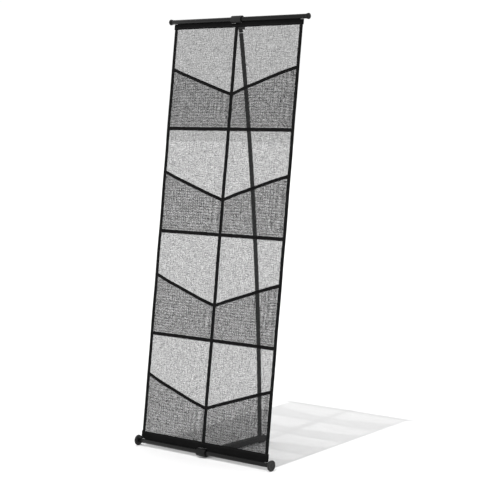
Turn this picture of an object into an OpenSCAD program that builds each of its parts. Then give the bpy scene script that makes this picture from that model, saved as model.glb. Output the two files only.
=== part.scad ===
// Folding mesh magazine rack: a mesh banner with eight pockets hangs between two tubes and leans
// back on a bowed pole that stands in a foot bar.

/* [Banner] */
// Height of a row of pockets, from seam to seam along the banner
row_pitch = 318.5; // [300:0.5:340]
// Half the banner's width, to the middle of its side tapes
half_width = 245; // [200:1:300]
// Backward lean of the banner, in degrees
lean = 7.25; // [6:0.25:9]
// Width of the sewn tapes
tape_w = 11; // [8:0.5:14]
// Distance from the bottom tube's axis to the free edge of its hem
bottom_hem = 31.5; // [28:0.5:36]
// The same for the top tube
top_hem = 23.5; // [20:0.5:28]

/* [Pockets] */
// Distance from the middle of the mesh to the outside of a pocket's front
pocket_depth = 12.4; // [8:0.2:20]
// Thickness of a pocket's wall
pocket_wall = 1; // [0.6:0.1:1.4]
// Height of a pocket's lip above its seam, at the side tape
lip_side = 184; // [150:1:210]
// Height of a pocket's lip above its seam, at the centre tape
lip_centre = 104.5; // [80:0.5:140]

/* [Tubes] */
// Outer radius of the top and bottom tubes
tube_r = 7; // [6.6:0.1:7.4]
// Wall of both tubes
tube_wall = 1.2; // [1:0.1:1.4]
// Radius of the end discs that the rack stands on
disc_r = 16.25; // [15:0.25:19]
// Radius of the top tube's end caps
cap_r = 9; // [8.5:0.5:11]

/* [Foot and pole] */
// Distance of the pole's base behind the bottom tube's axis
pole_back = 271; // [260:1:300]
// Outer radius of the pole
pole_r = 6.5; // [6.2:0.1:6.6]
// Width of the foot bar
bar_w = 22; // [21.5:0.5:26]
// Height of the foot bar
bar_h = 16; // [16:0.5:18]
// Thickness of the rubber pad under the foot bar's end
pad_h = 3.5; // [3:0.5:4]

/* [Hidden] */
$fn = 48;

running = 0.05; // radial clearance of a turning fit
gap = 0.1;      // clearance of a plug or sleeve that is pushed home

rows = 4;
seam_start = 18.5; // where the lowest row would start, above the bottom tube's axis
end_room = 31;     // what the two tubes take of the banner's length
tube_gap = rows * row_pitch + end_room;
tube_half = half_width + 17;
foot_reach = pole_back + 25;

// The box's middle is at Y = 0, and the discs and the foot pad stand on Z = 0.
tube_y = -(foot_reach - disc_r) / 2;
tube_z = disc_r;
bar_base = pad_h;

// Foot ring and its block
ring_r = 12;
ring_half = 17;
block_end = 12.5;
spigot_end = 45;
bar_wall = 1.5;
bar_corner = 2;
screw_y = [22, 37];
screw_r = 1.5;

// Pole socket
socket_r = 8.2;
socket_floor = 2;
socket_flange_r = 9.6;
socket_flange_h = 2;
pole_base = bar_base + bar_wall + socket_floor;
pole_bore = pole_r - 1;
ferrule_half = 35;
cord_r = 2;
stop_inset = 8;
stop_h = 6;
tip_ring_h = 2.5;
nose_len = 15;
nose_gap = 0.02; // keeps the ring clear of the pole and of the nose

// The bow is the arc that stands upright on the foot bar and ends at the top collar.
nose_back = 14.6; // the nose's top, behind the top tube's axis
nose_drop = 22.8; // and below it
bow_rise = tube_z + tube_gap * cos(lean) - nose_drop - pole_base;
bow_run = pole_back - tube_gap * sin(lean) - nose_back;
bow_r = (bow_rise * bow_rise + bow_run * bow_run) / (2 * bow_run);
pole_len = bow_r * asin(bow_rise / bow_r) * PI / 180 - tip_ring_h - nose_len;

// Top collar
collar_r = 11;
collar_half = 19;
cheek = 3;
lug_gap = 0.7;    // from the nose to the cheeks and the front wall
lug_roof_gap = 0.4;
lug_front = -13;
lug_rear = 9;
lug_top = 11;
lug_lip = 2.5;    // how far the front wall reaches below the nose's top
cheek_drop = 6;

// Banner layers, measured forwards from the middle of the mesh
mesh_half = 0.4;
tape_half = 1.4;
hem_half = 1.2;
hem_reach = half_width + 8;
hem_lap = 8;       // how far the mesh runs into a hem
notch_half = 20;   // clears the foot ring and the top collar
notch_reach = 12.6;
slot_w = 2.6;
keder_r = 1.9;
loop_r = 2.5;
keder_half = half_width - 5;
plug_start = half_width - 1;
keder_v = tube_r - tube_wall - loop_r - gap;
hem_top = tube_gap - top_hem;

lip_lift = 9;
pocket_slope = 20;  // width over which a pocket's side rises to its full depth
pocket_toe = 28;    // height over which its bottom does
inner_u = tape_w / 2;
outer_u = half_width - tape_w / 2;

// ---- shared shapes ----

// Turns the banner's own frame (X across, Y backwards, Z up the banner) into the rack's frame.
module on_banner() {
    translate([0, tube_y, tube_z]) rotate([-lean, 0, 0]) children();
}

// A box on the banner: u across, n forwards from the mesh, v up from the bottom tube axis.
module slab(u0, u1, n0, n1, v0, v1) {
    translate([u0, -n1, v0]) cube([u1 - u0, n1 - n0, v1 - v0]);
}

module mesh_slab() {
    slab(-half_width, half_width, -mesh_half, mesh_half, bottom_hem - hem_lap, hem_top + hem_lap);
}

module along_x(x0, x1, r) {
    translate([x0, 0, 0]) rotate([0, 90, 0]) cylinder(r = r, h = x1 - x0);
}

module rounded_rect(w, h, r) {
    square([w - 2 * r, h], center = true);
    square([w, h - 2 * r], center = true);
    for (x = [-1, 1], y = [-1, 1])
        translate([x * (w / 2 - r), y * (h / 2 - r)]) circle(r = r);
}

// A rounded bar lying along Y, between two distances behind the bottom tube axis.
module bar(y0, y1, w, h, r) {
    translate([0, tube_y + y1, bar_base + bar_h / 2])
        rotate([90, 0, 0]) linear_extrude(y1 - y0) rounded_rect(w, h, r);
}

// A point on a ring round the pole's axis, at arc length s, radius r and angle t.
function bow_angle(s) = s / bow_r * 180 / PI;
function bow_centre(s) = [
    0,
    tube_y + pole_back - bow_r * (1 - cos(bow_angle(s))),
    pole_base + bow_r * sin(bow_angle(s))
];
function bow_point(s, r, t) = bow_centre(s)
    + [r * cos(t), r * sin(t) * cos(bow_angle(s)), r * sin(t) * sin(bow_angle(s))];

// Carries its children to the pole's axis at arc length s, with Z along the pole.
module on_bow(s) {
    translate(bow_centre(s)) rotate([bow_angle(s), 0, 0]) children();
}

// A bowed tube between two arc lengths.
module bowed_tube(s0, s1, r_out, r_in, steps, sides) {
    function ring(i, r) = [for (j = [0:sides - 1])
        bow_point(s0 + (s1 - s0) * i / steps, r, 360 * j / sides)];
    points = [for (r = [r_out, r_in], i = [0:steps]) each ring(i, r)];
    function at(wall, i, j) = (wall * (steps + 1) + i) * sides + j % sides;
    walls = [for (i = [0:steps - 1], j = [0:sides - 1]) each [
        [at(0, i, j), at(0, i + 1, j), at(0, i + 1, j + 1), at(0, i, j + 1)],
        [at(1, i, j + 1), at(1, i + 1, j + 1), at(1, i + 1, j), at(1, i, j)]]];
    ends = [for (j = [0:sides - 1]) each [
        [at(0, 0, j), at(0, 0, j + 1), at(1, 0, j + 1), at(1, 0, j)],
        [at(0, steps, j + 1), at(0, steps, j), at(1, steps, j), at(1, steps, j + 1)]]];
    polyhedron(points, concat(walls, ends));
}

// The cord is a bowed rod.
module bowed_rod(s0, s1, r, steps, sides) {
    points = [for (i = [0:steps], j = [0:sides - 1])
        bow_point(s0 + (s1 - s0) * i / steps, r, 360 * j / sides)];
    function at(i, j) = i * sides + j % sides;
    walls = [for (i = [0:steps - 1], j = [0:sides - 1])
        [at(i, j), at(i + 1, j), at(i + 1, j + 1), at(i, j + 1)]];
    ends = [[for (j = [0:sides - 1]) at(0, j)], [for (j = [sides - 1:-1:0]) at(steps, j)]];
    polyhedron(points, concat(walls, ends));
}

// ---- foot ----

module foot_bar() color("#202022") difference() {
    bar(block_end, foot_reach - 3, bar_w, bar_h, bar_corner);
    bar(block_end - 1, foot_reach, bar_w - 2 * bar_wall, bar_h - 2 * bar_wall, bar_corner / 2);
    translate([0, tube_y + pole_back, bar_base + bar_h / 2])
        cylinder(r = socket_r + gap / 2, h = bar_h);
    for (y = screw_y)
        translate([0, tube_y + y, bar_base - 1]) cylinder(r = screw_r + gap, h = bar_wall + 2);
}

module foot_ring() color("#1b1b1d") difference() {
    union() {
        translate([0, tube_y, tube_z]) along_x(-ring_half, ring_half, ring_r);
        bar(0, block_end, bar_w, bar_h, bar_corner);
        bar(block_end - 1, spigot_end, bar_w - 2 * bar_wall - 2 * gap,
            bar_h - 2 * bar_wall - 2 * gap, bar_corner / 2);
    }
    translate([0, tube_y, tube_z]) along_x(-ring_half - 1, ring_half + 1, tube_r + running);
    for (y = screw_y)
        translate([0, tube_y + y, bar_base]) cylinder(r = screw_r + running, h = 11);
}

module foot_screws() color("#3a3a3d") for (y = screw_y)
    translate([0, tube_y + y, bar_base]) {
        cylinder(r = screw_r, h = 10);
        translate([0, 0, -1.6]) cylinder(r1 = 2.4, r2 = 3.1, h = 1.6);
    }

module foot_end_cap() color("#161617") {
    bar(foot_reach - 3, foot_reach, bar_w, bar_h, bar_corner);
    bar(foot_reach - 14, foot_reach - 3, bar_w - 2 * bar_wall - 2 * gap,
        bar_h - 2 * bar_wall - 2 * gap, bar_corner / 2);
}

module foot_pad() color("#101011")
    translate([0, tube_y + foot_reach - 19, 0]) linear_extrude(pad_h)
        rounded_rect(bar_w - 4, 30, 3);

module pole_socket() color("#1b1b1d")
    translate([0, tube_y + pole_back, bar_base + bar_wall]) difference() {
        union() {
            cylinder(r = socket_r, h = bar_h - bar_wall);
            translate([0, 0, bar_h - bar_wall])
                cylinder(r1 = socket_flange_r, r2 = socket_flange_r - 1, h = socket_flange_h);
        }
        translate([0, 0, socket_floor]) cylinder(r = pole_r + gap, h = bar_h + socket_flange_h);
    }

// ---- pole ----

module pole_section(i) color("#37373a")
    bowed_tube(pole_len * i / 3, pole_len * (i + 1) / 3, pole_r, pole_bore, 10, 24);

module ferrule(i) color("#8d8f92")
    bowed_tube(pole_len * i / 3 - ferrule_half, pole_len * i / 3 + ferrule_half,
        pole_bore - gap, pole_bore - 1.1, 4, 24);

module shock_cord() color("#19191b")
    bowed_rod(stop_inset - 2, pole_len - stop_inset + 2, cord_r, 46, 8);

module cord_stops() color("#2a2a2c")
    for (s = [stop_inset, pole_len - stop_inset - stop_h]) on_bow(s) difference() {
        cylinder(r = pole_bore - 0.2, h = stop_h);
        translate([0, 0, -1]) cylinder(r = cord_r + gap, h = stop_h + 2);
    }

module pole_tip_ring() color("#c9ccd0")
    on_bow(pole_len) translate([0, 0, nose_gap]) cylinder(r = pole_r + 0.3, h = tip_ring_h);

module pole_nose() color("#151516") on_bow(pole_len) translate([0, 0, tip_ring_h + 2 * nose_gap]) {
    cylinder(r = pole_r, h = nose_len - pole_r);
    translate([0, 0, nose_len - pole_r]) sphere(r = pole_r);
}

// ---- top collar: a ring that turns on the top tube, with a lug hooked over the pole's nose ----

top_angle = bow_angle(pole_len);
apex = bow_centre(pole_len) - [0, tube_y, tube_z]
    + (tip_ring_h + 2 * nose_gap + nose_len) * [0, -sin(top_angle), cos(top_angle)];
apex_turn = atan(apex[1] / apex[2]);
apex_rise = norm(apex);
collar_y = tube_gap * sin(lean - apex_turn);
collar_up = tube_gap * cos(lean - apex_turn) - apex_rise;

module top_collar() color("#2b2b2e")
    translate([0, tube_y, tube_z]) rotate([-apex_turn, 0, 0]) translate([0, 0, apex_rise]) {
        half = pole_r + lug_gap;
        difference() {
            union() {
                translate([0, collar_y, collar_up]) along_x(-collar_half, collar_half, collar_r);
                translate([-half - cheek, lug_front, -cheek_drop])
                    cube([2 * (half + cheek), lug_rear - lug_front, cheek_drop + lug_top]);
            }
            translate([0, collar_y, collar_up])
                along_x(-collar_half - 1, collar_half + 1, tube_r + running);
            // the slot that the nose leaves through: downwards and to the rear
            translate([-half, -half, -2 * cheek_drop])
                cube([2 * half, 3 * lug_rear, 2 * cheek_drop + lug_roof_gap]);
            translate([-half, 2 * lug_front, -2 * cheek_drop])
                cube([2 * half, 6 * lug_rear, 2 * cheek_drop - lug_lip]);
        }
    }

// ---- banner: tubes ----

module slotted_tube(side) difference() {
    along_x(-tube_half, tube_half, tube_r);
    along_x(-tube_half - 1, tube_half + 1, tube_r - tube_wall);
    translate([-tube_half - 1, -slot_w / 2, side > 0 ? 0 : -2 * tube_r])
        cube([2 * tube_half + 2, slot_w, 2 * tube_r]);
}

module bottom_tube() color("#1d1d1f") on_banner() slotted_tube(1);

module top_tube() color("#1d1d1f") on_banner() translate([0, 0, tube_gap]) slotted_tube(-1);

// An end piece turned about the tube axis: a plug, and a head with a rounded rim.
module end_piece(head_r, head_l, waist_r, round_r) rotate([0, 90, 0]) {
    translate([0, 0, plug_start]) cylinder(r = tube_r - tube_wall - gap / 2, h = tube_half - plug_start);
    translate([0, 0, tube_half]) rotate_extrude() {
        polygon([[0, 0], [waist_r, 0], [head_r, head_l - 2 * round_r - 0.5],
            [head_r, head_l - round_r], [head_r - round_r, head_l], [0, head_l]]);
        translate([head_r - round_r, head_l - round_r]) circle(r = round_r);
    }
}

module bottom_disc(side) color("#3b3b3d")
    on_banner() mirror([side < 0 ? 1 : 0, 0, 0]) end_piece(disc_r, 6.5, disc_r - 1, 1.8);

module top_cap(side) color("#1b1b1d")
    on_banner() translate([0, 0, tube_gap]) mirror([side < 0 ? 1 : 0, 0, 0])
        end_piece(cap_r, 10, tube_r + 0.6, 2);

// ---- banner: hems with their keder rods ----

module along_hem(side, r, reach)
    translate([0, 0, side * keder_v]) along_x(-reach, reach, r);

// A hem as seen from its own tube's axis, reaching away from it by depth.
module hem_band(depth) difference() {
    union() {
        along_hem(1, loop_r, keder_half);
        slab(-keder_half, keder_half, -hem_half, hem_half, keder_v, tube_r + 1);
        slab(-hem_reach, hem_reach, -hem_half, hem_half, tube_r + 0.5, depth);
    }
    along_hem(1, keder_r, keder_half + 1);
    slab(-notch_half, notch_half, -tube_r, tube_r, -tube_r, notch_reach);
}

module bottom_hem_band() color("#131314") on_banner() difference() {
    hem_band(bottom_hem);
    mesh_slab();
}

module top_hem_band() color("#131314") on_banner() difference() {
    translate([0, 0, tube_gap]) mirror([0, 0, 1]) hem_band(top_hem);
    mesh_slab();
}

module bottom_keder() color("#e6e4df") on_banner() along_hem(1, keder_r, keder_half);

module top_keder() color("#e6e4df")
    on_banner() translate([0, 0, tube_gap]) along_hem(-1, keder_r, keder_half);

// ---- banner: mesh and tapes ----

module back_mesh() color("#7d7e80") on_banner() mesh_slab();

module side_tape(side) color("#141415") on_banner() difference() {
    slab(side > 0 ? outer_u : -outer_u - tape_w, side > 0 ? outer_u + tape_w : -outer_u,
        -tape_half, tape_half, bottom_hem, hem_top);
    mesh_slab();
}

module centre_tape() color("#141415") on_banner() difference() {
    slab(-inner_u, inner_u, -tape_half, tape_half, bottom_hem, hem_top);
    mesh_slab();
}

// Height of a row's seam above the bottom tube's axis. Rows count from the top.
function seam_v(row) = seam_start + (rows - row) * row_pitch;

module seam_tape(row) color("#141415") on_banner() difference() {
    for (u = [-outer_u, inner_u])
        slab(u, u + outer_u - inner_u, -tape_half, tape_half,
            seam_v(row) - tape_w / 2, seam_v(row) + tape_w / 2);
    mesh_slab();
}

// ---- banner: pockets, drawn in the right-hand column ----

function pocket_foot(row) = max(seam_v(row) + tape_w / 2, bottom_hem);
// The lowest row's lip is higher, because the hem takes the bottom of its pockets.
function lip_v(row, u) = seam_v(row) + lip_centre + (lip_side - lip_centre) * u / half_width
    + (row == rows ? lip_lift : 0);

// The space between the mesh and a pocket's outside, grown outwards by e.
module pocket_space(row, e) intersection() {
    translate([0, 0, pocket_foot(row) - 1]) linear_extrude(row_pitch)
        polygon([[inner_u - e, -mesh_half], [outer_u + e, -mesh_half],
            [outer_u - pocket_slope + e, -pocket_depth - e], [inner_u + pocket_slope - e, -pocket_depth - e]]);
    rotate([90, 0, 90]) linear_extrude(half_width)
        polygon([[-mesh_half, pocket_foot(row) - e], [-pocket_depth - e, pocket_foot(row) + pocket_toe - e],
            [-pocket_depth - e, seam_v(row) + row_pitch], [-mesh_half, seam_v(row) + row_pitch]]);
}

// Everything between two heights that run parallel to a pocket's lip, within its column.
module lip_band(row, below, above)
    rotate([90, 0, 0]) linear_extrude(2 * pocket_depth)
        polygon([[inner_u, lip_v(row, inner_u) + below], [outer_u, lip_v(row, outer_u) + below],
            [outer_u, lip_v(row, outer_u) + above], [inner_u, lip_v(row, inner_u) + above]]);

module in_column(side) on_banner() mirror([side < 0 ? 1 : 0, 0, 0]) children();

module pocket(row, side) color("#5d5e60") in_column(side) intersection() {
    difference() {
        pocket_space(row, 0);
        pocket_space(row, -pocket_wall);
    }
    lip_band(row, -row_pitch, tape_w / 2 - 1);
}

module lip_tape(row) color("#141415") for (side = [-1, 1]) in_column(side) intersection() {
    difference() {
        pocket_space(row, 0.8);
        pocket_space(row, 0);
    }
    lip_band(row, -tape_w / 2, tape_w / 2);
}

foot_bar();
foot_ring();
foot_screws();
foot_end_cap();
foot_pad();
pole_socket();
pole_section(0);  // pole_lower
pole_section(1);  // pole_middle
pole_section(2);  // pole_upper
ferrule(1);  // lower_ferrule
ferrule(2);  // upper_ferrule
shock_cord();
cord_stops();
pole_tip_ring();
pole_nose();
top_collar();
bottom_tube();
bottom_disc(-1);  // bottom_disc_left
bottom_disc(1);  // bottom_disc_right
bottom_keder();
top_tube();
top_cap(-1);  // top_cap_left
top_cap(1);  // top_cap_right
top_keder();
back_mesh();
bottom_hem_band();
top_hem_band();
side_tape(-1);  // side_tape_left
side_tape(1);  // side_tape_right
centre_tape();
for (row = [1:3])
    seam_tape(row);
for (row = [1:4]) {
    pocket(row, -1);
    pocket(row, 1);
    lip_tape(row);
}
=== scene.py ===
"""Folding mesh magazine rack: a mesh banner with eight pockets, leaning back on a bowed pole."""

import math

import bmesh
import bpy
from mathutils import Matrix, Vector, noise


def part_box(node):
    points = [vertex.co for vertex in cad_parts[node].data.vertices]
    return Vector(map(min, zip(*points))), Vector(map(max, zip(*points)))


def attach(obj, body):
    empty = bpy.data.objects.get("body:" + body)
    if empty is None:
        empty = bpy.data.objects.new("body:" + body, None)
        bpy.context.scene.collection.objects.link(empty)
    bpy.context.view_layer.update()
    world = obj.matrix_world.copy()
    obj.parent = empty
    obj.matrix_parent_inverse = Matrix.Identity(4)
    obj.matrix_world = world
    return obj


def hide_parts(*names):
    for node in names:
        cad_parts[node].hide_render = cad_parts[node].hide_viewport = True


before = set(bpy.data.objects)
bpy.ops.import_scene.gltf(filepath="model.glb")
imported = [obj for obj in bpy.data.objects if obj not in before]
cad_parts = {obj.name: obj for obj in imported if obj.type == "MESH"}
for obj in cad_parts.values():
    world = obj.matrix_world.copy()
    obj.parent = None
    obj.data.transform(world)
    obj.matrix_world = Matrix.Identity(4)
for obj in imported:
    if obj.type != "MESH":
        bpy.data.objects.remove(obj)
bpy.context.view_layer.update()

MM = 0.001

# ---- measures that the soft pieces share, in metres ----

HALF_WIDTH = 245 * MM        # to the outer edge of the mesh
TAPE_WIDTH = 11 * MM
TAPE_HALF = 1.4 * MM         # half the thickness of the side and centre tapes
CROSS_TAPE_HALF = 1.25 * MM  # the seam tapes tuck under them
LIP_TAPE_HALF = 1.15 * MM
LIP_TAPE_WIDTH = 0.95 * TAPE_WIDTH
TAPE_STEP = 12 * MM          # length of a tape's flat pieces
LIP_TAPE_STEP = 5 * MM
TAPE_TUCK = 1.5 * MM         # how far a seam tape's end goes under an upright one
LIP_TAPE_TUCK = 1 * MM
STITCH_LINE = 3.6 * MM       # from the middle of a tape to its line of stitches
SEAM_STITCH_LINE = 3.4 * MM
STITCH_PITCH = 3.2 * MM
INNER = TAPE_WIDTH / 2       # a pocket reaches from the centre tape
OUTER = HALF_WIDTH - INNER   # to the side tape
ROW_PITCH = 318.5 * MM
SEAM_START = 18.5 * MM       # the lowest seam, above the bottom tube's axis
ROWS = 4
HEM_BOTTOM = 31.5 * MM       # the hems' free edges, above the bottom tube's axis
HEM_TOP = 1281.5 * MM
HEM_HALF = 1.2 * MM
HEM_REACH = 253 * MM
MESH_INSET = 2 * MM          # the mesh stops short of the side tapes' middles
HEM_LAP = 8 * MM             # how far the mesh goes into a hem
HEM_NECK = 3.2 * MM          # a hem starts this far from its tube's axis
HEM_SHOULDER = 7.6 * MM      # and reaches past the keder rod's ends from here on
KEDER_HALF = 240 * MM
FOOT_NOTCH = (17.5 * MM, 12.4 * MM)  # half width and reach of a hem's notch, round the foot ring
TOP_NOTCH = (19.5 * MM, 11.5 * MM)   # and round the top collar
LIP_CENTRE = 104.5 * MM      # a lip's height above its seam
LIP_SIDE = 184 * MM
LOWEST_LIP_LIFT = 9 * MM
POCKET_FRONT = 9.5 * MM      # from the back mesh to the front mesh
POCKET_EDGE = 0.75 * MM      # where a pocket is sewn down
POCKET_TUCK = 2.5 * MM       # how far its sides go under the tapes
LIP_TUCK = 3.5 * MM          # and its cut edge into the lip tape
SIDE_SLOPE = 60 * MM
TOE_SLOPE = 30 * MM
BACK_PITCH = 2.6 * MM        # from thread to thread
POCKET_PITCH = 2 * MM        # finer, so that the two layers make no broad pattern
BACK_SHARE = 0.182           # a thread's radius, as a share of the pitch
POCKET_SHARE = 0.138
THREAD_PIECE = 7 * MM        # length of its straight pieces
THREAD_SLUB = 0.33           # unevenness of its thickness
THREAD_WANDER = 0.18         # and of its place, as a share of the pitch
TUBE_R = 7 * MM
TUBE_WALL = 1.2 * MM
TUBE_HALF = 262 * MM
SLOT_HALF = 11.5             # half the slot's opening, in degrees about the tube's axis
POLE_R = 6.5 * MM
POLE_BORE = 5.5 * MM         # its radius
BOW_R = 8992.52 * MM
POLE_LENGTH = 1267.89 * MM
POLE_SECTIONS = 3
POLE_BASE_BACK = 271 * MM    # the pole's foot behind the bottom tube's axis
POLE_BASE_UP = 7 * MM


def middle(node):
    """The middle of a node's box, in the row frame."""
    low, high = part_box(node)
    return (low + high) / 2


FOOT_AXIS = middle("bottom_disc_left")
TOP_AXIS = middle("top_cap_left")
LEAN = math.atan2(TOP_AXIS.y - FOOT_AXIS.y, TOP_AXIS.z - FOOT_AXIS.z)
TUBE_GAP = math.hypot(TOP_AXIS.y - FOOT_AXIS.y, TOP_AXIS.z - FOOT_AXIS.z)
BANNER = Matrix.Translation((0, FOOT_AXIS.y, FOOT_AXIS.z)) @ Matrix.Rotation(-LEAN, 4, "X")


# ---- materials ----

def colour_of(value, tint=(1, 1, 1)):
    """A grey, slightly tinted, as a colour."""
    return (value * tint[0], value * tint[1], value * tint[2], 1)


class Finish:
    """A material whose nodes are added one by one."""

    def __init__(self, name, specular, metallic=0.0):
        self.material = bpy.data.materials.new(name)
        self.material.use_nodes = True
        self.tree = self.material.node_tree
        self.surface = self.tree.nodes["Principled BSDF"]
        self.surface.inputs["Specular IOR Level"].default_value = specular
        self.surface.inputs["Metallic"].default_value = metallic

    def node(self, kind, **settings):
        """Adds a shader node; a setting is one of its options or else one of its inputs."""
        made = self.tree.nodes.new(kind)
        for name, value in settings.items():
            if hasattr(made, name):
                setattr(made, name, value)
            else:
                made.inputs[name.replace("_", " ")].default_value = value
        return made

    def link(self, source, target):
        self.tree.links.new(source, target)

    def coordinates(self, stretch=(1, 1, 1), turn=(0, 0, 0), flat=False):
        """Places on the piece in metres, stretched and turned: its own weave map where flat."""
        if flat:
            source = self.node("ShaderNodeUVMap", uv_map="weave").outputs["UV"]
        else:
            source = self.node("ShaderNodeTexCoord").outputs["Object"]
        mapping = self.node("ShaderNodeMapping", Scale=stretch, Rotation=turn)
        self.link(source, mapping.inputs["Vector"])
        return mapping.outputs["Vector"]

    def noise(self, at, scale, detail=3.0):
        made = self.node("ShaderNodeTexNoise", Scale=scale, Detail=detail)
        self.link(at, made.inputs["Vector"])
        return made.outputs["Fac"]

    def waves(self, at, scale, distortion, direction):
        made = self.node("ShaderNodeTexWave", Scale=scale, Distortion=distortion,
                         bands_direction=direction, Detail=1.0, Detail_Scale=3.0)
        self.link(at, made.inputs["Vector"])
        return made.outputs["Fac"]

    def mixed(self, first, second, kind="ADD"):
        """Combines a value with another value or a number."""
        made = self.node("ShaderNodeMath", operation=kind)
        self.link(first, made.inputs[0])
        if isinstance(second, (int, float)):
            made.inputs[1].default_value = second
        else:
            self.link(second, made.inputs[1])
        return made.outputs[0]

    def colours(self, by, dark, light, low=0.3, high=0.7):
        """Spreads the colour between two tones by a value."""
        ramp = self.node("ShaderNodeValToRGB")
        ramp.color_ramp.elements[0].position = low
        ramp.color_ramp.elements[0].color = dark
        ramp.color_ramp.elements[1].position = high
        ramp.color_ramp.elements[1].color = light
        self.link(by, ramp.inputs["Fac"])
        self.link(ramp.outputs["Color"], self.surface.inputs["Base Color"])

    def roughness(self, by, low, high):
        """Spreads the roughness by a value."""
        spread = self.node("ShaderNodeMapRange", From_Min=0.3, From_Max=0.7, To_Min=low, To_Max=high)
        self.link(by, spread.inputs["Value"])
        self.link(spread.outputs["Result"], self.surface.inputs["Roughness"])

    def relief(self, by, height, strength=1.0):
        """Raises the surface by a value, up to a height in metres."""
        bump = self.node("ShaderNodeBump", Strength=strength, Distance=height)
        self.link(by, bump.inputs["Height"])
        self.link(bump.outputs["Normal"], self.surface.inputs["Normal"])


def painted_metal(name, dark, light, rough, specular, along=(1, 1, 1), grain=2600, depth=0.00003):
    """Satin paint over metal: fine orange peel, and a faint drift of tone along the piece."""
    finish = Finish(name, specular)
    place = finish.coordinates(stretch=along)
    fine = finish.noise(place, grain, 2)
    broad = finish.noise(place, 24, 4)
    finish.colours(broad, colour_of(dark), colour_of(light))
    finish.roughness(finish.mixed(broad, fine, "MULTIPLY"), rough + 0.08, rough - 0.06)
    finish.relief(fine, depth, 0.5)
    return finish.material


def moulded_plastic(name, dark, light, rough, specular, depth=0.00005):
    """Moulded plastic with a fine spark-eroded grain."""
    finish = Finish(name, specular)
    place = finish.coordinates()
    grain = finish.node("ShaderNodeTexVoronoi", Scale=1500.0)
    finish.link(place, grain.inputs["Vector"])
    cells = grain.outputs["Distance"]
    broad = finish.noise(place, 60, 3)
    finish.colours(broad, colour_of(dark), colour_of(light))
    finish.roughness(broad, rough - 0.05, rough + 0.08)
    finish.relief(cells, depth, 0.6)
    return finish.material


def turned_metal(name, tone, rough):
    """Bare metal with fine turning lines."""
    finish = Finish(name, 0.5, metallic=1.0)
    lines = finish.noise(finish.coordinates(stretch=(60, 60, 4000)), 1.0, 2)
    finish.colours(lines, colour_of(tone * 0.8), colour_of(tone, (1, 1.01, 1.03)))
    finish.roughness(lines, rough, rough + 0.15)
    finish.relief(lines, 0.00002, 0.4)
    return finish.material


def ribbed_tape(name, dark, light):
    """Woven binding tape: cross ribs, with the warp lines running along it."""
    finish = Finish(name, 0.06)
    place = finish.coordinates(flat=True)
    ribs = finish.waves(place, 150, 0.6, "Y")
    warp = finish.waves(place, 330, 0.8, "X")
    weave = finish.mixed(ribs, warp, "MULTIPLY")
    fuzz = finish.noise(place, 900, 3)
    broad = finish.noise(place, 30, 4)
    finish.colours(finish.mixed(broad, finish.mixed(weave, 0.25, "MULTIPLY")),
                   colour_of(dark), colour_of(light, (1, 1, 1.03)), 0.35, 0.95)
    finish.roughness(broad, 0.82, 0.95)
    finish.relief(finish.mixed(weave, finish.mixed(fuzz, 0.3, "MULTIPLY")), 0.00022, 0.8)
    finish.surface.inputs["Sheen Weight"].default_value = 0.02
    finish.surface.inputs["Sheen Roughness"].default_value = 0.5
    return finish.material


def plain_weave(name, dark, light):
    """Closely woven hem cloth."""
    finish = Finish(name, 0.05)
    place = finish.coordinates(flat=True)
    weft = finish.waves(place, 420, 0.5, "Y")
    warp = finish.waves(place, 420, 0.5, "X")
    weave = finish.mixed(weft, warp, "MULTIPLY")
    broad = finish.noise(place, 22, 4)
    finish.colours(finish.mixed(broad, finish.mixed(weave, 0.2, "MULTIPLY")),
                   colour_of(dark), colour_of(light, (1, 1, 1.02)), 0.35, 0.9)
    finish.roughness(broad, 0.85, 0.96)
    finish.relief(weave, 0.00016, 0.7)
    finish.surface.inputs["Sheen Weight"].default_value = 0.015
    return finish.material


def coated_thread(name, dark, light):
    """Plastic-coated yarn of the open mesh, with a slow change of tone from place to place."""
    finish = Finish(name, 0.2)
    place = finish.coordinates()
    broad = finish.noise(place, 55, 4)
    yarn = finish.noise(place, 1400, 2)
    finish.colours(finish.mixed(finish.mixed(broad, 0.6, "MULTIPLY"), finish.mixed(yarn, 0.4, "MULTIPLY")),
                   colour_of(dark, (1, 1.0, 0.99)), colour_of(light, (1, 1.01, 1.02)), 0.35, 0.65)
    finish.roughness(yarn, 0.45, 0.65)
    finish.relief(yarn, 0.00006, 0.5)
    return finish.material


def soft_rubber(name, dark, light):
    """A dull, gritty skin, for rubber, braid and sewing thread."""
    finish = Finish(name, 0.2)
    place = finish.coordinates()
    grit = finish.noise(place, 1800, 3)
    finish.colours(finish.noise(place, 90, 3), colour_of(dark), colour_of(light))
    finish.roughness(grit, 0.75, 0.9)
    finish.relief(grit, 0.00008, 0.6)
    return finish.material


TUBE_PAINT = painted_metal("satin black tube", 0.003, 0.005, 0.2, 0.2, along=(0.15, 1, 1))
POLE_PAINT = painted_metal("dark grey pole", 0.009, 0.013, 0.42, 0.16, along=(1, 1, 0.12))
FOOT_PAINT = painted_metal("powder coated foot", 0.006, 0.009, 0.5, 0.16, along=(1, 0.2, 1), depth=0.00006)
RING_PLASTIC = moulded_plastic("black moulding", 0.004, 0.007, 0.45, 0.15)
COLLAR_PLASTIC = moulded_plastic("collar moulding", 0.010, 0.014, 0.5, 0.22)
DISC_PLASTIC = moulded_plastic("grey disc moulding", 0.012, 0.017, 0.55, 0.25)
BRIGHT_METAL = turned_metal("bright ring metal", 0.9, 0.3)
FERRULE_METAL = turned_metal("ferrule metal", 0.55, 0.3)
SCREW_STEEL = turned_metal("screw steel", 0.08, 0.35)
KEDER_PLASTIC = moulded_plastic("pale keder rod", 0.62, 0.72, 0.4, 0.4)
PAD_RUBBER = soft_rubber("foot pad rubber", 0.009, 0.014)
CORD_COVER = soft_rubber("braided cord cover", 0.012, 0.022)
BACK_THREAD = coated_thread("back mesh yarn", 0.018, 0.030)
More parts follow.
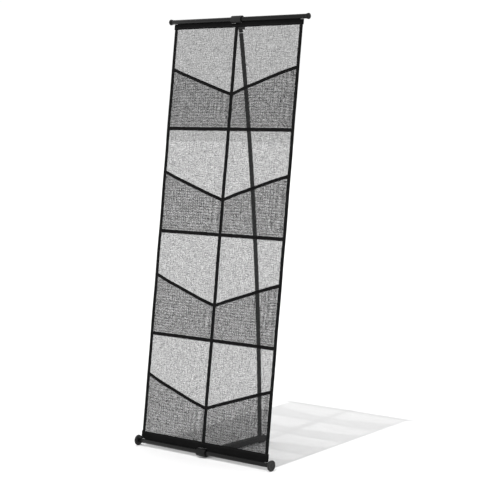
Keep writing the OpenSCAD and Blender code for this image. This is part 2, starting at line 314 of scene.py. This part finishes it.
POCKET_THREAD = coated_thread("pocket mesh yarn", 0.018, 0.030)
TAPE_CLOTH = ribbed_tape("black binding tape", 0.003, 0.008)
HEM_CLOTH = plain_weave("black hem cloth", 0.0025, 0.006)
STITCH_THREAD = soft_rubber("black sewing thread", 0.016, 0.028)


# ---- shaping ----

def finish_piece(bm, name, materials, body, slot, *nodes, smooth=40):
    """Closes a piece's mesh and makes it an object that stands for its CAD nodes."""
    bmesh.ops.recalc_face_normals(bm, faces=bm.faces)
    mesh = bpy.data.meshes.new(name)
    bm.to_mesh(mesh)
    bm.free()
    mesh.shade_smooth()
    mesh.set_sharp_from_angle(angle=math.radians(smooth))
    for material in materials:
        mesh.materials.append(material)
    piece = bpy.data.objects.new(name, mesh)
    bpy.context.scene.collection.objects.link(piece)
    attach(piece, body)
    if nodes:
        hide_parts(*nodes)
    return piece


def soften(bm, width, segments=2, angle=35):
    """Rounds every edge sharper than an angle."""
    sharp = [e for e in bm.edges if len(e.link_faces) == 2 and e.calc_face_angle(0) > math.radians(angle)]
    bmesh.ops.bevel(bm, geom=sharp, offset=width, offset_type="OFFSET", affect="EDGES",
                    segments=segments, profile=0.5, material=-1, clamp_overlap=True)


def turned(profile, steps=48, closed=False):
    """A solid turned about X from a profile of (along, radius) points in millimetres."""
    bm = bmesh.new()
    verts = [bm.verts.new((a * MM, 0, r * MM)) for a, r in profile]
    pairs = list(zip(verts, verts[1:])) + ([(verts[-1], verts[0])] if closed else [])
    edges = [bm.edges.new(pair) for pair in pairs]
    bmesh.ops.spin(bm, geom=verts + edges, cent=(0, 0, 0), axis=(1, 0, 0), dvec=(0, 0, 0),
                   angle=math.tau, steps=steps, use_merge=True)
    bmesh.ops.remove_doubles(bm, verts=bm.verts, dist=0.01 * MM)
    bmesh.ops.recalc_face_normals(bm, faces=bm.faces)
    return bm


def move(bm, function):
    """Moves every corner of a piece by a rule."""
    for corner in bm.verts:
        corner.co = function(corner.co)


def repeat(bm, step, count):
    """Copies of a shape in a straight row, made by doubling what is there."""
    per_copy = [len(part) for part in (bm.verts, bm.edges, bm.faces)]
    made = 1
    while made < count:
        more = min(made, count - made)
        source = []
        for part, size in zip((bm.verts, bm.edges, bm.faces), per_copy):
            source += part[:more * size]
        copied = bmesh.ops.duplicate(bm, geom=source)["geom"]
        corners = [g for g in copied if isinstance(g, bmesh.types.BMVert)]
        bmesh.ops.translate(bm, vec=Vector(step) * made, verts=corners)
        made += more


def add_to(whole, part):
    """Adds one mesh under construction to another."""
    scratch = bpy.data.meshes.new("scratch")
    part.to_mesh(scratch)
    part.free()
    whole.from_mesh(scratch)
    bpy.data.meshes.remove(scratch)


def softened_copy(node, materials, body, slot, width, segments=2):
    """A CAD node's own shape with its edges rounded."""
    bm = bmesh.new()
    bm.from_mesh(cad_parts[node].data)
    bmesh.ops.remove_doubles(bm, verts=bm.verts, dist=0.002 * MM)
    bmesh.ops.dissolve_limit(bm, angle_limit=math.radians(1), verts=bm.verts, edges=bm.edges)
    soften(bm, width * MM, segments)
    return finish_piece(bm, node + "_piece", materials, body, slot, node)


# ---- the banner's shape ----

def slack(u, v):
    """How far the hung cloth stands forwards of its flat plane: nothing at the hems."""
    held = math.sin(math.pi * min(max((v - HEM_BOTTOM) / (HEM_TOP - HEM_BOTTOM), 0), 1))
    ripple = 0.9 * MM * math.sin(13 * u + 0.6) * math.cos(8.7 * v) + 0.5 * MM * math.sin(31 * v + 2)
    belly = -1.1 * MM * abs(math.sin(math.pi * u / HALF_WIDTH))
    return held * (ripple + belly)


def hung(u, v, n):
    """A point u across, v up the banner from the bottom tube's axis, and n forwards of the mesh."""
    return BANNER @ Vector((u, -n - slack(u, v), v))


def seam_height(row):
    """The height of the seam under a row, counted from the top row."""
    return SEAM_START + (ROWS - row) * ROW_PITCH


def lip_height(row, u):
    """A lip falls from the side tapes to the centre tape; the lowest row's is a little higher."""
    rise = (LIP_SIDE - LIP_CENTRE) * min(abs(u) / HALF_WIDTH, 1)
    return seam_height(row) + LIP_CENTRE + rise + (LOWEST_LIP_LIFT if row == ROWS else 0)


def pocket_foot(row):
    """Where a pocket's mesh comes out of the seam tape, or of the bottom hem."""
    return max(seam_height(row) + TAPE_WIDTH / 2, HEM_BOTTOM)


def pocket_swell(row, u, v):
    """How far a pocket's front stands off the back mesh."""
    side = min(max(min(abs(u) - INNER, OUTER - abs(u)) / SIDE_SLOPE, 0), 1)
    toe = min(max((v - pocket_foot(row)) / TOE_SLOPE, 0), 1)
    rounded = math.sin(side * math.pi / 2) * math.sin(toe * math.pi / 2)
    return POCKET_EDGE + (POCKET_FRONT - POCKET_EDGE) * rounded


# ---- cloth ----

def chance(*place):
    """An even spread from -1 to 1 that is always the same at one place."""
    return noise.cell(Vector(place) + Vector((0.5, 0.5, 0.5)))


def divide_lengthways(bm, pieces):
    """Cuts a piece that lies along Z into equal lengths."""
    edges = [e for e in bm.edges if abs(e.verts[0].co.z - e.verts[1].co.z) > MM]
    bmesh.ops.subdivide_edges(bm, edges=edges, cuts=pieces - 1, use_grid_fill=True)


def threads(across, along, pitch, radius, lengthways, seed):
    """A row of parallel threads over a rectangle, each a little uneven in place and thickness."""
    first, last = across
    start, end = along
    pieces = round((end - start) / THREAD_PIECE)
    bm = bmesh.new()
    bmesh.ops.create_cone(bm, cap_ends=True, segments=4, radius1=radius, radius2=radius, depth=end - start)
    divide_lengthways(bm, pieces)
    bmesh.ops.translate(bm, vec=(0, 0, (start + end) / 2), verts=bm.verts)
    repeat(bm, (pitch, 0, 0), round((last - first) / pitch) + 1)

    def uneven(co):
        thread = round(co.x / pitch)
        piece = round((co.z - start) / (end - start) * pieces)
        slub = 1 + THREAD_SLUB * chance(thread, piece, seed)
        wander = THREAD_WANDER * pitch * chance(thread, piece, seed + 50)
        line = thread * pitch
        place = first + line + wander + (co.x - line) * slub
        return Vector((place, co.y * slub, co.z) if lengthways else (co.z, co.y * slub, place))

    move(bm, uneven)
    return bm


def lattice(u_range, v_range, pitch, radius, seed):
    """Two crossing rows of threads over a rectangle, X across and Z up."""
    bm = threads(u_range, v_range, pitch, radius, True, seed)
    add_to(bm, threads(v_range, u_range, pitch, radius, False, seed + 100))
    return bm


def panel_span(row):
    """The bottom and top of the mesh behind one row of pockets: from seam to seam, or into a hem."""
    bottom = seam_height(row) if row < ROWS else HEM_BOTTOM - HEM_LAP
    top = seam_height(row - 1) if row > 1 else HEM_TOP + HEM_LAP
    return bottom, top


def back_mesh(row):
    """The mesh behind one row of pockets; the first one stands for the whole cloth."""
    bm = lattice((-HALF_WIDTH + MESH_INSET, HALF_WIDTH - MESH_INSET), panel_span(row), BACK_PITCH,
                 BACK_SHARE * BACK_PITCH, row)
    move(bm, lambda co: hung(co.x, co.z, -co.y))
    nodes = ["back_mesh"] if row == 1 else []
    return finish_piece(bm, f"back_mesh_{row}_cloth", [BACK_THREAD], "banner", "back_mesh", *nodes,
                        smooth=100)


def pocket(row, side):
    """One pocket's front, made as if on the right, cut along its lip and turned to its own side."""
    sign = 1 if side == "right" else -1
    foot = pocket_foot(row)
    u_range = (INNER - POCKET_TUCK, OUTER + POCKET_TUCK)
    v_range = (foot - 2 * MM, lip_height(row, HALF_WIDTH) + 5 * MM)
    bm = lattice(u_range, v_range, POCKET_PITCH, POCKET_SHARE * POCKET_PITCH, 10 * row + sign)
    low = Vector((INNER, 0, lip_height(row, INNER) + LIP_TUCK))
    high = Vector((OUTER, 0, lip_height(row, OUTER) + LIP_TUCK))
    along = (high - low).normalized()
    cut = bmesh.ops.bisect_plane(bm, geom=bm.verts[:] + bm.edges[:] + bm.faces[:], dist=1e-7, plane_co=low,
                                 plane_no=(-along.z, 0, along.x), clear_outer=True)
    edges = [g for g in cut["geom_cut"] if isinstance(g, bmesh.types.BMEdge)]
    bmesh.ops.holes_fill(bm, edges=edges, sides=0)
    move(bm, lambda co: hung(sign * co.x, co.z, pocket_swell(row, co.x, co.z) - co.y))
    return finish_piece(bm, f"pocket_{row}_{side}_cloth", [POCKET_THREAD], "banner", "pocket_mesh",
                        f"pocket_{row}_{side}", smooth=100)


def add_weave_map(bm):
    """Lays the weave flat on a strip: across it and along it, in metres."""
    layer = bm.loops.layers.uv.new("weave")
    for face in bm.faces:
        for loop in face.loops:
            loop[layer].uv = (loop.vert.co.x + loop.vert.co.y, loop.vert.co.z)


def strip(width, half, length, step, stitch_lines):
    """A flat tape with rolled edges and lines of stitches, X across it, Z along it from nothing."""
    bm = bmesh.new()
    bmesh.ops.create_cube(bm, size=1)
    bmesh.ops.scale(bm, vec=(width, 2 * half, length), verts=bm.verts)
    bmesh.ops.translate(bm, vec=(0, 0, length / 2), verts=bm.verts)
    long_edges = [e for e in bm.edges if abs(e.verts[0].co.z - e.verts[1].co.z) > length / 2]
    bmesh.ops.bevel(bm, geom=long_edges, offset=half * 0.75, offset_type="OFFSET", affect="EDGES",
                    segments=3, profile=0.5, material=-1)
    divide_lengthways(bm, max(round(length / step), 2))
    add_to(bm, stitch_rows(stitch_lines, half, length))
    add_weave_map(bm)
    return bm


def stitch_rows(lines, half, length):
    """Lines of short stitches along a strip, on both of its faces."""
    pitch = STITCH_PITCH
    rows = bmesh.new()
    for across in lines:
        for face in (-half, half):
            bm = bmesh.new()
            bmesh.ops.create_uvsphere(bm, u_segments=6, v_segments=4, radius=1)
            bmesh.ops.scale(bm, vec=(0.32 * MM, 0.3 * MM, 0.42 * pitch), verts=bm.verts)
            bmesh.ops.translate(bm, vec=(across, face, pitch), verts=bm.verts)
            repeat(bm, (0, 0, pitch), int((length - pitch) / pitch))
            add_to(rows, bm)
    for face in rows.faces:
        face.material_index = 1
    return rows


def upright_tape(name, middle_u, stitch_lines, node):
    """A tape from hem to hem."""
    bm = strip(TAPE_WIDTH, TAPE_HALF, HEM_TOP - HEM_BOTTOM, TAPE_STEP, stitch_lines)
    move(bm, lambda co: hung(middle_u + co.x, HEM_BOTTOM + co.z, -co.y))
    return finish_piece(bm, name, [TAPE_CLOTH, STITCH_THREAD], "banner", "binding_tape", node)


def crossing_tapes(name, row, node):
    """The two halves of a seam tape, each tucked under the tapes that it meets."""
    whole = bmesh.new()
    for sign in (-1, 1):
        length = OUTER - INNER + 2 * TAPE_TUCK
        half = strip(TAPE_WIDTH, CROSS_TAPE_HALF, length, TAPE_STEP,
                     (-SEAM_STITCH_LINE, SEAM_STITCH_LINE))
        move(half, lambda co: hung(sign * (INNER - TAPE_TUCK + co.z), seam_height(row) + co.x, -co.y))
        add_to(whole, half)
    return finish_piece(whole, name, [TAPE_CLOTH, STITCH_THREAD], "banner", "binding_tape", node)


def lip_tape(row):
    """The binding along the two lips of a row, following the swell of its pockets."""
    whole = bmesh.new()
    for sign in (-1, 1):
        length = OUTER - INNER + 2 * LIP_TAPE_TUCK
        half = strip(LIP_TAPE_WIDTH, LIP_TAPE_HALF, length, LIP_TAPE_STEP, (-STITCH_LINE,))

        def place(co):
            u = INNER - LIP_TAPE_TUCK + co.z
            v = lip_height(row, u) + co.x
            return hung(sign * u, v, pocket_swell(row, u, v) - co.y)

        move(half, place)
        add_to(whole, half)
    return finish_piece(whole, f"lip_tape_{row}_cloth", [TAPE_CLOTH, STITCH_THREAD], "banner",
                        "binding_tape", f"lip_tape_{row}")


def hem(name, direction, axis_v, reach, notch, node):
    """A doubled hem from inside its tube's slot to its free edge, with a notch at the middle."""
    bm = bmesh.new()
    bmesh.ops.create_grid(bm, x_segments=1, y_segments=1, size=0.5)
    bmesh.ops.scale(bm, vec=(2 * HEM_REACH, reach - HEM_NECK, 1), verts=bm.verts)
    bmesh.ops.rotate(bm, cent=(0, 0, 0), matrix=Matrix.Rotation(math.pi / 2, 3, "X"), verts=bm.verts)
    bmesh.ops.translate(bm, vec=(0, 0, (reach + HEM_NECK) / 2), verts=bm.verts)
    notch_half, notch_reach = notch
    # cuts across the hem (0) give it its ripple and the notch's sides, and cuts along it (1) its steps
    cuts = [(u * MM, 0) for u in range(-232, 233, 16)]
    cuts += [(-notch_half, 0), (notch_half, 0), (-KEDER_HALF, 0), (KEDER_HALF, 0)]
    cuts += [(HEM_SHOULDER, 1), (notch_reach, 1)]
    for place, upright in cuts:
        point = (0, 0, place) if upright else (place, 0, 0)
        normal = (0, 0, 1) if upright else (1, 0, 0)
        bmesh.ops.bisect_plane(bm, geom=bm.verts[:] + bm.edges[:] + bm.faces[:], dist=1e-7,
                               plane_co=point, plane_no=normal)

    def left_out(face):
        middle_of = face.calc_center_median()
        notched = abs(middle_of.x) < notch_half and middle_of.z < notch_reach
        return notched or (abs(middle_of.x) > KEDER_HALF and middle_of.z < HEM_SHOULDER)

    bmesh.ops.delete(bm, geom=[f for f in bm.faces if left_out(f)], context="FACES")
    raised = bmesh.ops.extrude_face_region(bm, geom=bm.faces[:])["geom"]
    corners = [g for g in raised if isinstance(g, bmesh.types.BMVert)]
    bmesh.ops.translate(bm, vec=(0, 2 * HEM_HALF, 0), verts=corners)
    bmesh.ops.translate(bm, vec=(0, -HEM_HALF, 0), verts=bm.verts)
    bmesh.ops.recalc_face_normals(bm, faces=bm.faces)
    soften(bm, HEM_HALF * 0.6, 3, 60)
    bmesh.ops.rotate(bm, cent=(0, 0, 0), matrix=Matrix.Rotation(math.pi / 2, 3, "Y"), verts=bm.verts)
    stitches = stitch_rows((reach - 3 * MM, reach - 5.5 * MM), HEM_HALF, 2 * HEM_REACH - 8 * MM)
    bmesh.ops.translate(stitches, vec=(0, 0, 4 * MM - HEM_REACH), verts=stitches.verts)
    add_to(bm, stitches)
    add_weave_map(bm)

    def place(co):
        loose = min(max((abs(co.x) - 12 * MM) / (reach - 12 * MM), 0), 1)
        wave = 0.35 * MM * loose * math.sin(co.z * 38) * math.sin(co.z * 11 + 1)
        return BANNER @ Vector((co.z, co.y + wave, axis_v + direction * co.x))

    move(bm, place)
    return finish_piece(bm, name, [HEM_CLOTH, STITCH_THREAD], "banner", "hem_cloth", node)


# ---- tubes and their ends ----

def slotted_tube(name, up, axis_v, node):
    """A round tube with a slot along it for the hem, in its top or in its underside."""
    bm = bmesh.new()
    start = math.radians(SLOT_HALF)
    inner_r = TUBE_R - TUBE_WALL
    verts = [bm.verts.new((-TUBE_HALF, r * math.sin(start), r * math.cos(start))) for r in (inner_r, TUBE_R)]
    edge = bm.edges.new(verts)
    bmesh.ops.spin(bm, geom=verts + [edge], cent=(0, 0, 0), axis=(1, 0, 0), dvec=(0, 0, 0),
                   angle=-(math.tau - 2 * start), steps=56)
    raised = bmesh.ops.extrude_face_region(bm, geom=bm.faces[:])["geom"]
    corners = [g for g in raised if isinstance(g, bmesh.types.BMVert)]
    bmesh.ops.translate(bm, vec=(2 * TUBE_HALF, 0, 0), verts=corners)
    bmesh.ops.recalc_face_normals(bm, faces=bm.faces)
    soften(bm, 0.25 * MM, 2, 50)
    if not up:
        bmesh.ops.rotate(bm, cent=(0, 0, 0), matrix=Matrix.Rotation(math.pi, 3, "X"), verts=bm.verts)
    bmesh.ops.translate(bm, vec=(0, 0, axis_v), verts=bm.verts)
    bmesh.ops.transform(bm, matrix=BANNER, verts=bm.verts)
    return finish_piece(bm, name, [TUBE_PAINT], "banner", "black_tube", node)


def end_piece(name, profile, side, axis_v, material, slot, node):
    """A plug and its head, turned about the tube's axis."""
    bm = turned(profile)
    soften(bm, 0.3 * MM, 2, 30)
    if side == "left":
        bmesh.ops.rotate(bm, cent=(0, 0, 0), matrix=Matrix.Rotation(math.pi, 3, "Z"), verts=bm.verts)
    bmesh.ops.translate(bm, vec=(0, 0, axis_v), verts=bm.verts)
    bmesh.ops.transform(bm, matrix=BANNER, verts=bm.verts)
    return finish_piece(bm, name, [material], "banner", slot, node)


def rounded_rim(middle_along, middle_r, radius, first, last, steps=6):
    """Points of a rim's round, from one angle to another; zero points along the axis outwards."""
    turns = [math.radians(first + (last - first) * i / steps) for i in range(steps + 1)]
    return [(middle_along + radius * math.cos(t), middle_r + radius * math.sin(t)) for t in turns]


# outlines as (along, radius) points in millimetres
PLUG_PROFILE = [(244, 0), (244, 5.2), (245, 5.75), (262, 5.75)]
DISC_PROFILE = (PLUG_PROFILE + [(262, 15.25), (264.4, 16.1)]
                + rounded_rim(266.7, 14.45, 1.8, 90, 0)
                + [(268.3, 11.2), (267.7, 10.6), (267.7, 4.4), (268.1, 3.8), (268.1, 0)])
CAP_PROFILE = (PLUG_PROFILE + [(262, 7.6), (264.6, 7.8), (267.4, 9)]
               + rounded_rim(270, 7, 2, 90, 0) + [(272, 4), (271.8, 0)])


# ---- pole ----

def bowed(co):
    """Carries a point from a straight pole along Z to the bowed one."""
    angle = co.z / BOW_R
    reach = BOW_R + co.y
    return Vector((co.x, FOOT_AXIS.y + POLE_BASE_BACK - BOW_R + reach * math.cos(angle),
                   POLE_BASE_UP + reach * math.sin(angle)))


def pole_piece(name, profile, start, material, slot, node, closed, steps=40):
    """A piece turned about the pole's line, its profile measured along it from start."""
    bm = turned(profile, steps=steps, closed=closed)
    move(bm, lambda co: bowed(Vector((co.y, -co.z, start + co.x))))
    return finish_piece(bm, name, [material], "stand", slot, node)


def pole_section(name, index, node):
    """One bowed tube of the pole, its ends eased."""
    length = POLE_LENGTH / POLE_SECTIONS / MM
    outer_r = POLE_R / MM
    ease = 0.5
    steps = 24
    outer = [(0, outer_r - ease), (ease, outer_r)]
    outer += [(length * i / steps, outer_r) for i in range(1, steps)]
    outer += [(length - ease, outer_r), (length, outer_r - ease)]
    inner = [(length * i / steps, POLE_BORE / MM) for i in range(steps, -1, -1)]
    return pole_piece(name, outer + inner, index * POLE_LENGTH / POLE_SECTIONS, POLE_PAINT, "pole_paint",
                      node, True)


NOSE_START = POLE_LENGTH + 2.54 * MM
NOSE_PROFILE = ([(0, 0), (0, 6.1), (0.4, 6.5), (3, 6.5), (3.3, 6.2), (3.9, 6.2), (4.2, 6.5), (8.5, 6.5)]
                + rounded_rim(8.5, 0, 6.5, 84, 0, 9))
TIP_RING_PROFILE = [(0, 0), (0, 6.5), (0.3, 6.8), (2.2, 6.8), (2.5, 6.5), (2.5, 0)]


# ---- making the rack ----

back_cloths = [back_mesh(row) for row in range(1, ROWS + 1)]
pockets = {(row, side): pocket(row, side) for row in range(1, ROWS + 1) for side in ("left", "right")}
lips = {row: lip_tape(row) for row in range(1, ROWS + 1)}
tapes = [
    upright_tape("side_tape_left_cloth", -HALF_WIDTH, (STITCH_LINE,), "side_tape_left"),
    upright_tape("side_tape_right_cloth", HALF_WIDTH, (-STITCH_LINE,), "side_tape_right"),
    upright_tape("centre_tape_cloth", 0, (-STITCH_LINE, STITCH_LINE), "centre_tape"),
] + [crossing_tapes(f"seam_tape_{row}_cloth", row, f"seam_tape_{row}") for row in (1, 2, 3)]
hems = [
    hem("bottom_hem_cloth", 1, 0, HEM_BOTTOM, FOOT_NOTCH, "bottom_hem_band"),
    hem("top_hem_cloth", -1, TUBE_GAP, TUBE_GAP - HEM_TOP, TOP_NOTCH, "top_hem_band"),
]

slotted_tube("bottom_tube_piece", True, 0, "bottom_tube")
slotted_tube("top_tube_piece", False, TUBE_GAP, "top_tube")
for side in ("left", "right"):
    end_piece(f"bottom_disc_{side}_piece", DISC_PROFILE, side, 0, DISC_PLASTIC, "disc_plastic",
              f"bottom_disc_{side}")
    end_piece(f"top_cap_{side}_piece", CAP_PROFILE, side, TUBE_GAP, RING_PLASTIC, "black_plastic",
              f"top_cap_{side}")

for index, section in enumerate(("pole_lower", "pole_middle", "pole_upper")):
    pole_section(section + "_tube", index, section)
pole_piece("pole_tip_ring_piece", TIP_RING_PROFILE, POLE_LENGTH + 0.02 * MM, BRIGHT_METAL, "bright_ring",
           "pole_tip_ring", False)
pole_piece("pole_nose_piece", NOSE_PROFILE, NOSE_START, RING_PLASTIC, "black_plastic", "pole_nose", False)

softened_copy("top_collar", [COLLAR_PLASTIC], "top_collar", "black_plastic", 0.8, 3)
softened_copy("foot_ring", [RING_PLASTIC], "stand", "black_plastic", 0.6, 3)
softened_copy("foot_end_cap", [RING_PLASTIC], "stand", "black_plastic", 0.5, 2)
softened_copy("pole_socket", [RING_PLASTIC], "stand", "black_plastic", 0.4, 2)
softened_copy("foot_pad", [PAD_RUBBER], "stand", "pad_rubber", 0.5, 2)

# nodes that keep their CAD shape
CARRIED_OVER = {
    "foot_bar": FOOT_PAINT, "foot_screws": SCREW_STEEL, "lower_ferrule": FERRULE_METAL,
    "upper_ferrule": FERRULE_METAL, "shock_cord": CORD_COVER, "cord_stops": RING_PLASTIC,
    "bottom_keder": KEDER_PLASTIC, "top_keder": KEDER_PLASTIC,
}
for node, material in CARRIED_OVER.items():
    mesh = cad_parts[node].data
    mesh.materials.clear()
    mesh.materials.append(material)


# ---- floor, light and camera ----

CEILING = 0.9


def studio():
    """A white floor and surround, with a high lamp in front of the rack."""
    bm = bmesh.new()
    bmesh.ops.create_grid(bm, x_segments=2, y_segments=2, size=30)
    mesh = bpy.data.meshes.new("floor")
    bm.to_mesh(mesh)
    bm.free()
    floor = bpy.data.objects.new("floor", mesh)
    bpy.context.scene.collection.objects.link(floor)
    paper = Finish("white floor", 0.0)
    tone = paper.noise(paper.coordinates(), 3, 2)
    paper.colours(tone, colour_of(0.89), colour_of(0.9))
    paper.surface.inputs["Roughness"].default_value = 1.0
    mesh.materials.append(paper.material)

    # white walls all round, and a softer ceiling
    world = bpy.data.worlds.new("white surround")
    world.use_nodes = True
    tree = world.node_tree
    aim = tree.nodes.new("ShaderNodeTexCoord")
    height = tree.nodes.new("ShaderNodeSeparateXYZ")
    ramp = tree.nodes.new("ShaderNodeValToRGB")
    ramp.color_ramp.elements[0].position = 0.15
    ramp.color_ramp.elements[0].color = (1, 1, 1, 1)
    ramp.color_ramp.elements[1].position = 0.4
    ramp.color_ramp.elements[1].color = (CEILING, CEILING, CEILING, 1)
    tree.links.new(aim.outputs["Generated"], height.inputs["Vector"])
    tree.links.new(height.outputs["Z"], ramp.inputs["Fac"])
    tree.links.new(ramp.outputs["Color"], tree.nodes["Background"].inputs["Color"])
    tree.nodes["Background"].inputs["Strength"].default_value = 1.03
    bpy.context.scene.world = world

    lamp = bpy.data.lights.new("key", "SUN")
    lamp.energy = 1.6
    lamp.angle = math.radians(0.8)
    key = bpy.data.objects.new("key", lamp)
    key.rotation_euler = Vector((-0.055, 0.52, -1)).to_track_quat("-Z", "Y").to_euler()
    bpy.context.scene.collection.objects.link(key)


def camera():
    """The view from the right and a little above."""
    lens = bpy.data.cameras.new("view")
    lens.lens = 107.55
    lens.sensor_width = 36
    lens.clip_end = 100
    view = bpy.data.objects.new("view", lens)
    view.location = (2.921, -3.443, 1.052)
    view.rotation_euler = (math.radians(90 - 5.51), 0, math.radians(39.63))
    bpy.context.scene.collection.objects.link(view)
    bpy.context.scene.camera = view
    bpy.context.scene.view_settings.view_transform = "Standard"


studio()
camera()
